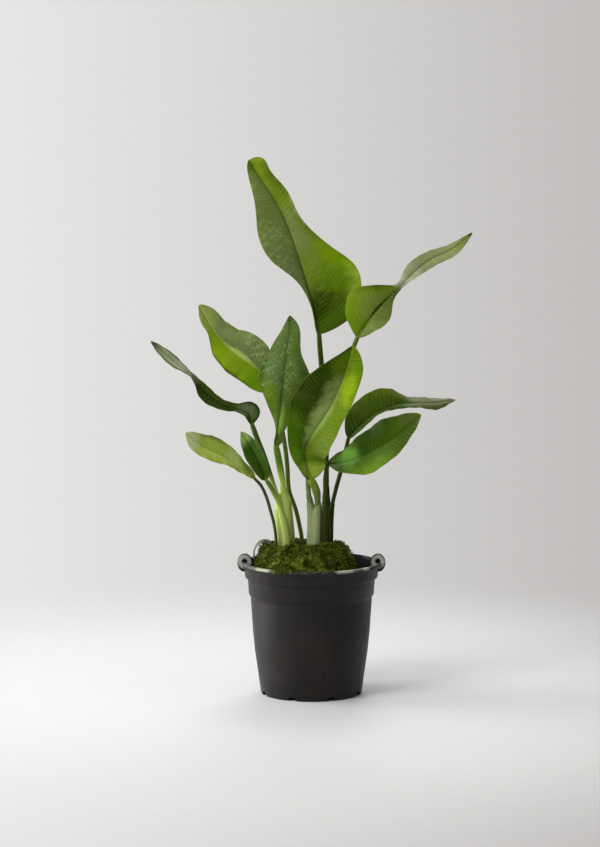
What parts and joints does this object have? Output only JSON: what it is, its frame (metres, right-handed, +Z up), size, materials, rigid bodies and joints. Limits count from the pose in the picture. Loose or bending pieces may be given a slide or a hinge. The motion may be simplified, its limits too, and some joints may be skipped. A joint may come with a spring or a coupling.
{
  "type": "potted bird of paradise",
  "caption": "Young bird of paradise plant with broad paddle leaves on upright stalks, set in moss-covered soil in a round black nursery pot.",
  "frame": {"origin": "middle of the flat underside of the pot", "axes": "+Z up through the plant, +X to the right and +Y to the back as the picture sees it"},
  "size_m": [0.5521, 0.24, 0.9285],
  "materials": {
    "leaf_top": "satin",
    "leaf_up_right": "satin",
    "leaf_high_left": "satin",
    "leaf_patterned": "satin",
    "leaf_front": "satin",
    "leaf_out_right": "satin",
    "leaf_low_right": "satin",
    "leaf_far_left": "satin",
    "leaf_low_left": "satin",
    "leaf_small": "satin",
    "stalk_light": "satin",
    "stalk_grey": "satin",
    "stalk_dark": "satin",
    "pot_plastic": "satin",
    "soil": "matte",
    "moss": "matte"
  },
  "bodies": {
    "root": {"leaf_top": "leaf_top", "leaf_up_right": "leaf_up_right", "leaf_high_left": "leaf_high_left", "leaf_patterned": "leaf_patterned", "leaf_front": "leaf_front", "leaf_out_right": "leaf_out_right", "leaf_low_right": "leaf_low_right", "leaf_far_left": "leaf_far_left", "leaf_low_left": "leaf_low_left", "leaf_small": "leaf_small", "stalk_left": "stalk_light", "stalk_mid": "stalk_grey", "stalk_right": "stalk_dark", "pot": "pot_plastic", "soil": "soil", "moss": "moss"}
  },
  "joints": []
}
